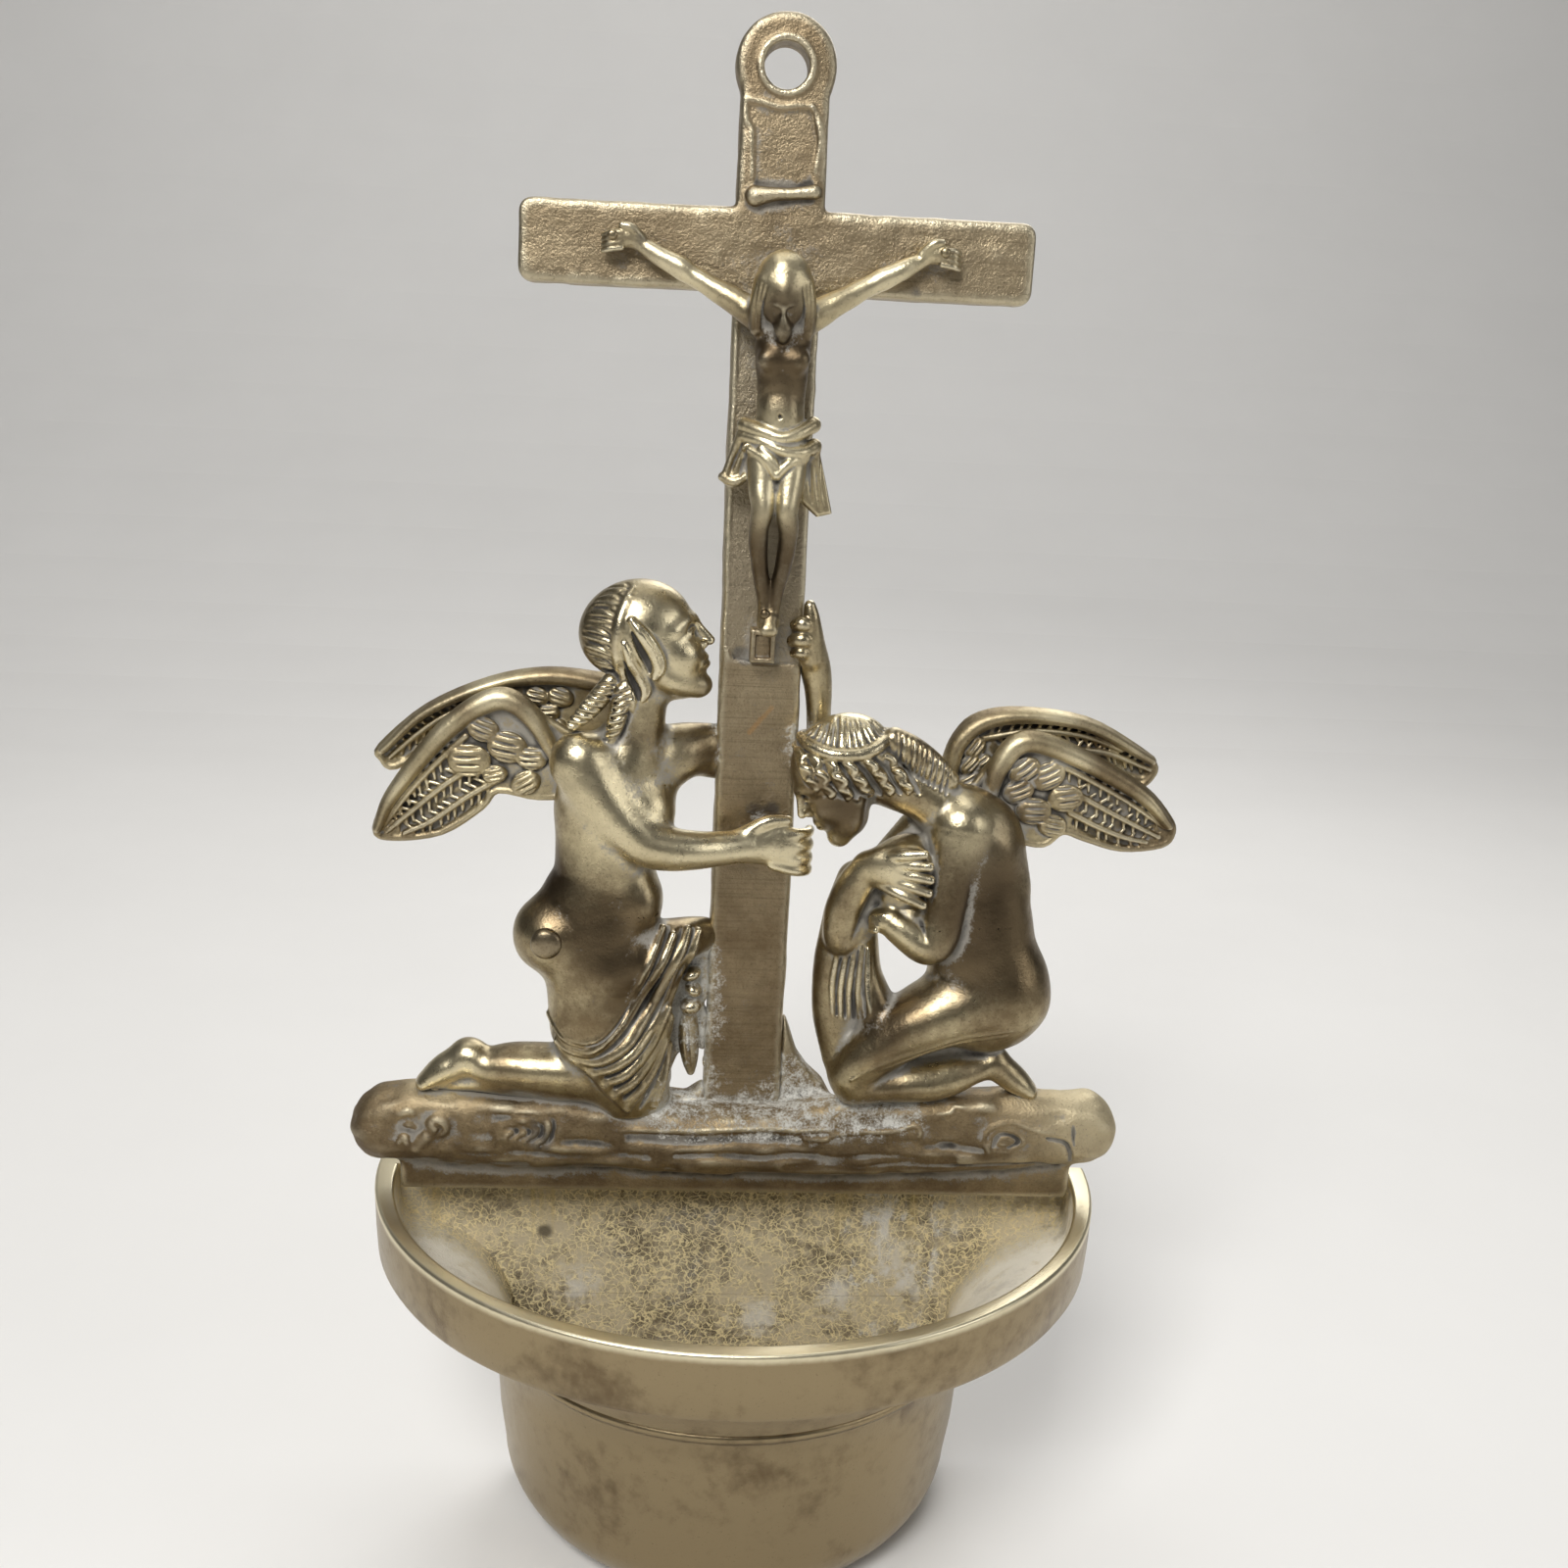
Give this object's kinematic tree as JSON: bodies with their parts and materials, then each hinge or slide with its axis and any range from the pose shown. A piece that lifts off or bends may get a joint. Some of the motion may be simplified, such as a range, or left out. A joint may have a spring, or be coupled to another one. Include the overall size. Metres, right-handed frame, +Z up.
{
  "type": "holy water stoup",
  "caption": "Wall-hung cast brass holy water stoup: a half-round bowl under a log sill, with winged figures kneeling at a cross that ends in a hanging eye.",
  "frame": {"origin": "on the wall face of the bowl's back plate, at the bowl rim's height, in the middle", "axes": "+Z up the cross, +Y into the wall, +X to the right for someone who faces the stoup"},
  "size_m": [0.1732, 0.073, 0.3178],
  "materials": {
    "brass_cross": "aged brass, brown grainy patina, paler along edges",
    "brass_sill": "aged brass, rubbed high spots, dark recesses",
    "brass_figures": "satin aged brass, bright raised forms, dark tarnish and pale residue in recesses",
    "brass_bowl": "smooth aged brass outside, crazed limescale inside",
    "brass_pins": "turned brass, dulled"
  },
  "bodies": {
    "root": {"cross": "brass_cross", "log_sill": "brass_sill", "bowl_basin": "brass_bowl", "bowl_cup": "brass_bowl", "corpus": "brass_figures", "left_angel": "brass_figures", "left_near_wing": "brass_figures", "left_far_wing": "brass_figures", "left_far_forearm": "brass_figures", "right_angel": "brass_figures", "right_near_wing": "brass_figures", "right_far_wing": "brass_figures", "foot_block": "brass_figures", "cross_screw": "brass_pins", "corpus_nail_left": "brass_pins", "corpus_nail_right": "brass_pins", "corpus_nail_feet": "brass_pins", "left_hip_rivet": "brass_pins", "left_knee_dowel": "brass_pins", "left_foot_dowel": "brass_pins", "right_knee_dowel": "brass_pins", "right_foot_dowel": "brass_pins", "bowl_screw_left": "brass_pins", "bowl_screw_middle": "brass_pins", "bowl_screw_right": "brass_pins"}
  },
  "joints": []
}
